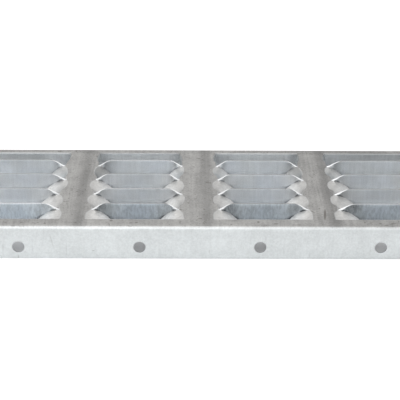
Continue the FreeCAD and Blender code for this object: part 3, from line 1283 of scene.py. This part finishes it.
def add_lamp(name, place, area, power):
    """A soft rectangular lamp aimed at the origin."""
    light = bpy.data.lights.new(name, "AREA")
    light.shape = "RECTANGLE"
    light.size, light.size_y = area
    light.energy = power
    lamp = add_object(name, light)
    lamp.location = place
    lamp.rotation_euler = lamp.location.to_track_quat("Z", "Y").to_euler()


def light_room(scene, level):
    """Even light all round, and plain white where the camera or a reflection looks past the floor."""
    world = bpy.data.worlds.new("white_room")
    world.use_nodes = True
    w = Wires(world.node_tree)
    lit = world.node_tree.nodes["Background"]
    w.fill(lit, {"Strength": level, "Color": WHITE})
    seen = w.output("ShaderNodeBackground", {"Strength": 1.0, "Color": WHITE})
    rays = w.outputs("ShaderNodeLightPath")
    looks = w.math("MAXIMUM", rays["Is Glossy Ray"], rays["Is Transmission Ray"])
    looks = w.math("MAXIMUM", rays["Is Camera Ray"], looks)
    mixed = w.output("ShaderNodeMixShader", {0: looks, 1: Value(w, lit.outputs[0]), 2: seen})
    w.fill(world.node_tree.nodes["World Output"], {"Surface": mixed})
    scene.world = world


def add_floor(colour):
    """A pale matt floor under the skirts."""
    floor_mesh = bpy.data.meshes.new("floor")
    half = FLOOR_HALF
    z = LOW.z - FLOOR_CLEAR
    floor_mesh.from_pydata(
        [(-half, -half, z), (half, -half, z), (half, half, z), (-half, half, z)], [], [(0, 1, 2, 3)]
    )
    material, w, shader, place = open_material("pale_floor")
    dust = w.output("ShaderNodeTexNoise", {"Vector": place, "Scale": FLOOR_DUST_SCALE, "Detail": 3.0})
    looks = w.output("ShaderNodeLightPath", which="Is Camera Ray")
    x, y, _ = w.apart(place)
    past_end = w.math("ABSOLUTE", x) - HIGH.x
    past_side = w.math("ABSOLUTE", y) - HIGH.y
    clear = w.step(w.math("MAXIMUM", past_end, past_side), 0.0, FLOOR_FADE)
    w.fill(shader, {
        "Base Color": toned(w, colour, w.between(dust, *FLOOR_DUST_TONES)),
        "Roughness": FLOOR_ROUGH,
        "Specular IOR Level": 0.0,
        "Emission Color": WHITE,
        "Emission Strength": looks * w.between(clear, UNDER_LIFT, FLOOR_LIFT),
    })
    floor_mesh.materials.append(material)
    floor = add_object("floor", floor_mesh)


def add_camera(scene, stage):
    """The camera at the photograph's angle."""
    lens = bpy.data.cameras.new("camera")
    lens.sensor_width = SENSOR
    lens.lens = SENSOR * stage.focal_pixels / IMAGE_PIXELS
    camera = add_object("camera", lens)
    camera.location = CAMERA_PLACE
    aim = Matrix.Rotation(-stage.yaw, 3, "Z")
    aim = aim @ Matrix.Rotation(math.pi / 2 - stage.pitch, 3, "X")
    aim = aim @ Matrix.Rotation(stage.roll, 3, "Z")
    camera.rotation_euler = aim.to_euler()
    scene.camera = camera


class STAIRTREAD_OT_stage(bpy.types.Operator):
    """Sets the floor, the lamps and the camera"""

    bl_idname = "stair_tread.stage"
    bl_label = "Set Stage"

    def execute(self, context):
        scene = context.scene
        stage = scene.stair_tread_stage
        scene.view_settings.view_transform = "Standard"
        light_room(scene, stage.room_light)
        add_floor(stage.floor)
        for name, place, area, power in LAMPS:
            add_lamp(name, place, area, getattr(stage, power))
        add_camera(scene, stage)
        return {"FINISHED"}


class STAIRTREAD_PT_panel(bpy.types.Panel):
    """Lists the tread's settings and operators"""

    bl_idname = "STAIRTREAD_PT_panel"
    bl_label = "Stair Tread"
    bl_space_type = "VIEW_3D"
    bl_region_type = "UI"
    bl_category = "Stair Tread"

    def draw(self, context):
        for settings, operator in (
            ("stair_tread_sheet", STAIRTREAD_OT_sheet),
            ("stair_tread_finish", None),
            ("stair_tread_stage", STAIRTREAD_OT_stage),
        ):
            box = self.layout.box()
            group = getattr(context.scene, settings)
            for name in group.__annotations__:
                box.prop(group, name)
            if operator:
                box.operator(operator.bl_idname)


SETTINGS = {
    "stair_tread_sheet": TreadSheetSizes,
    "stair_tread_finish": TreadFinish,
    "stair_tread_stage": TreadStage,
}
CLASSES = (*SETTINGS.values(), STAIRTREAD_OT_sheet, STAIRTREAD_OT_stage, STAIRTREAD_PT_panel)


def register():
    for cls in CLASSES:
        bpy.utils.register_class(cls)
    for name, group in SETTINGS.items():
        setattr(bpy.types.Scene, name, bpy.props.PointerProperty(type=group))


def unregister():
    for name in SETTINGS:
        delattr(bpy.types.Scene, name)
    for cls in reversed(CLASSES):
        bpy.utils.unregister_class(cls)


def main():
    register()
    bpy.ops.stair_tread.sheet()
    bpy.ops.stair_tread.stage()
    bpy.context.view_layer.update()


if __name__ == "__main__":
    main()
